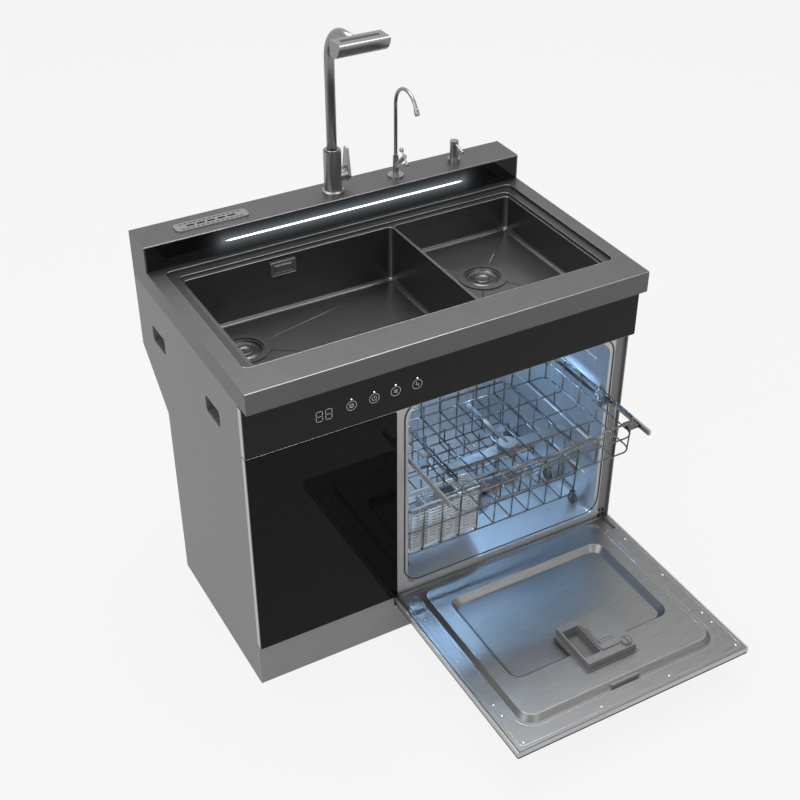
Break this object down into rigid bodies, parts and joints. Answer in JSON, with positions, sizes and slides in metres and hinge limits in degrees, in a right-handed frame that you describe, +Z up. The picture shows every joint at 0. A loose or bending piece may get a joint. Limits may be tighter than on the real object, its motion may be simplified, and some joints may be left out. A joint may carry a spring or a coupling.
{
  "type": "dishwasher sink unit",
  "caption": "Steel sink worktop with two bowls, taps and a soap pump over a cupboard and a front-opening dishwasher with sliding racks.",
  "frame": {"origin": "on the floor under the centre of the worktop, at the underside of the middle foot", "axes": "+Z up, -Y to the front where the doors are, +X to the right towards the dishwasher"},
  "size_m": [0.9, 1.034, 1.217],
  "materials": {
    "dark_steel": "brushed gunmetal coated steel",
    "bright_steel": "brushed stainless steel",
    "grey_panel": "satin grey coated sheet steel",
    "door_core": "light filled door core with a satin grey edge",
    "black_glass": "glossy black tempered glass",
    "black_rubber": "soft matt seal",
    "grey_plastic": "moulded satin plastic",
    "coated_wire": "grey coated steel wire",
    "lamp_cover": "lit diffuser strip"
  },
  "bodies": {
    "unit": {"worktop": "dark_steel", "ledge_glass": "black_glass", "sink_rim": "dark_steel", "large_bowl": "dark_steel", "small_bowl": "dark_steel", "drain_fittings": "bright_steel", "overflow_cover": "bright_steel", "waste_pipes": "grey_plastic", "side_panel_left": "grey_panel", "side_panel_right": "grey_panel", "base_plate": "grey_panel", "cupboard_liner": "grey_panel", "back_panel": "grey_panel", "kick_plate": "grey_panel", "fascia_glass": "black_glass", "fascia_frame": "door_core", "cupboard_fittings": "bright_steel", "tub": "bright_steel", "tub_frame": "bright_steel", "door_gasket": "black_rubber", "sump": "grey_plastic", "sump_filter": "bright_steel", "tub_lamps": "lamp_cover", "tub_rails": "bright_steel", "faucet_body": "dark_steel", "tap_body": "dark_steel", "soap_bottle": "grey_plastic", "knife_holder": "dark_steel", "light_bar": "lamp_cover"},
    "large_strainer": {"large_strainer": "bright_steel"},
    "small_strainer": {"small_strainer": "bright_steel"},
    "cupboard_door": {"cupboard_door_glass": "black_glass", "cupboard_door_panel": "door_core"},
    "dishwasher_door": {"door_glass": "black_glass", "door_panel": "door_core", "door_liner": "bright_steel", "dispenser_body": "grey_plastic", "door_hinge_arms": "bright_steel"},
    "dispenser_lid": {"dispenser_lid": "grey_plastic"},
    "rinse_cap": {"rinse_cap": "grey_plastic"},
    "lower_spray_arm": {"lower_spray_arm": "grey_plastic"},
    "upper_rack_rails": {"upper_rack_rails": "coated_wire"},
    "upper_rack": {"upper_rack_floor": "coated_wire", "upper_rack_walls": "coated_wire"},
    "upper_spray_arm": {"upper_spray_arm": "grey_plastic"},
    "lower_rack": {"lower_rack_floor": "coated_wire", "lower_rack_walls": "coated_wire", "lower_rack_tines": "coated_wire"},
    "wheels_front": {"wheels_front": "grey_plastic"},
    "wheels_middle": {"wheels_middle": "grey_plastic"},
    "wheels_rear": {"wheels_rear": "grey_plastic"},
    "cutlery_basket": {"cutlery_basket": "grey_plastic"},
    "faucet_spout": {"faucet_spout": "dark_steel"},
    "faucet_cartridge": {"faucet_cartridge": "dark_steel"},
    "faucet_lever": {"faucet_lever": "dark_steel"},
    "tap_spout": {"tap_spout": "dark_steel"},
    "tap_handle": {"tap_handle": "dark_steel"},
    "soap_plunger": {"soap_plunger": "bright_steel"},
    "soap_nozzle": {"soap_nozzle": "dark_steel"}
  },
  "joints": [
    {"name": "cupboard_door_hinge", "type": "hinge", "parent": "unit", "child": "cupboard_door", "pos_m": [-0.45, -0.2505, 0.3595], "axis": [0, 0, -1], "range_deg": [0, 110]},
    {"name": "dishwasher_door_hinge", "type": "hinge", "parent": "unit", "child": "dishwasher_door", "pos_m": [0.163, -0.242, 0.105], "axis": [-1, 0, 0], "range_deg": [0, 90]},
    {"name": "upper_rail_slide", "type": "slide", "parent": "unit", "child": "upper_rack_rails", "axis": [0, 1, 0], "range_m": [0, 0.19]},
    {"name": "upper_rack_slide", "type": "slide", "parent": "upper_rack_rails", "child": "upper_rack", "axis": [0, -1, 0], "range_m": [-0.19, 0]},
    {"name": "lower_rack_slide", "type": "slide", "parent": "unit", "child": "lower_rack", "axis": [0, 1, 0], "range_m": [-0.315, 0]},
    {"name": "front_wheels_turn", "type": "hinge", "parent": "lower_rack", "child": "wheels_front", "pos_m": [0.161, -0.19, 0.1263], "axis": [1, 0, 0], "continuous": true},
    {"name": "middle_wheels_turn", "type": "hinge", "parent": "lower_rack", "child": "wheels_middle", "pos_m": [0.161, -0.087, 0.1263], "axis": [1, 0, 0], "continuous": true},
    {"name": "rear_wheels_turn", "type": "hinge", "parent": "lower_rack", "child": "wheels_rear", "pos_m": [0.161, 0.09, 0.1263], "axis": [1, 0, 0], "continuous": true},
    {"name": "cutlery_basket_lift", "type": "slide", "parent": "lower_rack", "child": "cutlery_basket", "axis": [0, 0, 1], "range_m": [0, 0.1]},
    {"name": "lower_spray_turn", "type": "hinge", "parent": "unit", "child": "lower_spray_arm", "pos_m": [0.161, -0.045, 0.12], "axis": [0, 0, 1], "continuous": true},
    {"name": "upper_spray_turn", "type": "hinge", "parent": "upper_rack", "child": "upper_spray_arm", "pos_m": [0.161, -0.235, 0.39], "axis": [0, 0, 1], "continuous": true},
    {"name": "dispenser_lid_slide", "type": "slide", "parent": "dishwasher_door", "child": "dispenser_lid", "axis": [-1, 0, 0], "range_m": [0, 0.044]},
    {"name": "rinse_cap_turn", "type": "hinge", "parent": "dishwasher_door", "child": "rinse_cap", "pos_m": [0.214, -0.629, 0.13], "axis": [0, 0, 1], "range_deg": [0, 90]},
    {"name": "large_strainer_lift", "type": "slide", "parent": "unit", "child": "large_strainer", "axis": [0, 0, 1], "range_m": [0, 0.06]},
    {"name": "small_strainer_lift", "type": "slide", "parent": "unit", "child": "small_strainer", "axis": [0, 0, 1], "range_m": [0, 0.06]},
    {"name": "faucet_spout_swivel", "type": "hinge", "parent": "unit", "child": "faucet_spout", "pos_m": [0, 0.246, 0.93], "axis": [0, 0, 1], "range_deg": [-120, 120]},
    {"name": "faucet_mixing_turn", "type": "hinge", "parent": "unit", "child": "faucet_cartridge", "pos_m": [0.024, 0.246, 0.866], "axis": [1, 0, 0], "range_deg": [-45, 45]},
    {"name": "faucet_lever_tilt", "type": "hinge", "parent": "faucet_cartridge", "child": "faucet_lever", "pos_m": [0.0303, 0.246, 0.849], "axis": [0, 1, 0], "range_deg": [0, 25]},
    {"name": "tap_spout_swivel", "type": "hinge", "parent": "unit", "child": "tap_spout", "pos_m": [0.155, 0.246, 0.9], "axis": [0, 0, 1], "range_deg": [-150, 150]},
    {"name": "tap_handle_turn", "type": "hinge", "parent": "unit", "child": "tap_handle", "pos_m": [0.155, 0.246, 0.852], "axis": [0, -0.7071, 0.7071], "range_deg": [0, 90]},
    {"name": "soap_press", "type": "slide", "parent": "unit", "child": "soap_plunger", "axis": [0, 0, -1], "range_m": [0, 0.012], "stiffness_N_per_m": 400, "springref_m": -0.01},
    {"name": "soap_nozzle_turn", "type": "hinge", "parent": "soap_plunger", "child": "soap_nozzle", "pos_m": [0.305, 0.246, 0.85], "axis": [0, 0, 1], "continuous": true}
  ],
  "couplings": [
    {"joint": "upper_rail_slide", "follows": "dishwasher_door_hinge", "m_per_rad": 0.1209},
    {"joint": "front_wheels_turn", "follows": "lower_rack_slide", "rad_per_m": -71.429},
    {"joint": "middle_wheels_turn", "follows": "lower_rack_slide", "rad_per_m": -71.429},
    {"joint": "rear_wheels_turn", "follows": "lower_rack_slide", "rad_per_m": -71.429}
  ]
}
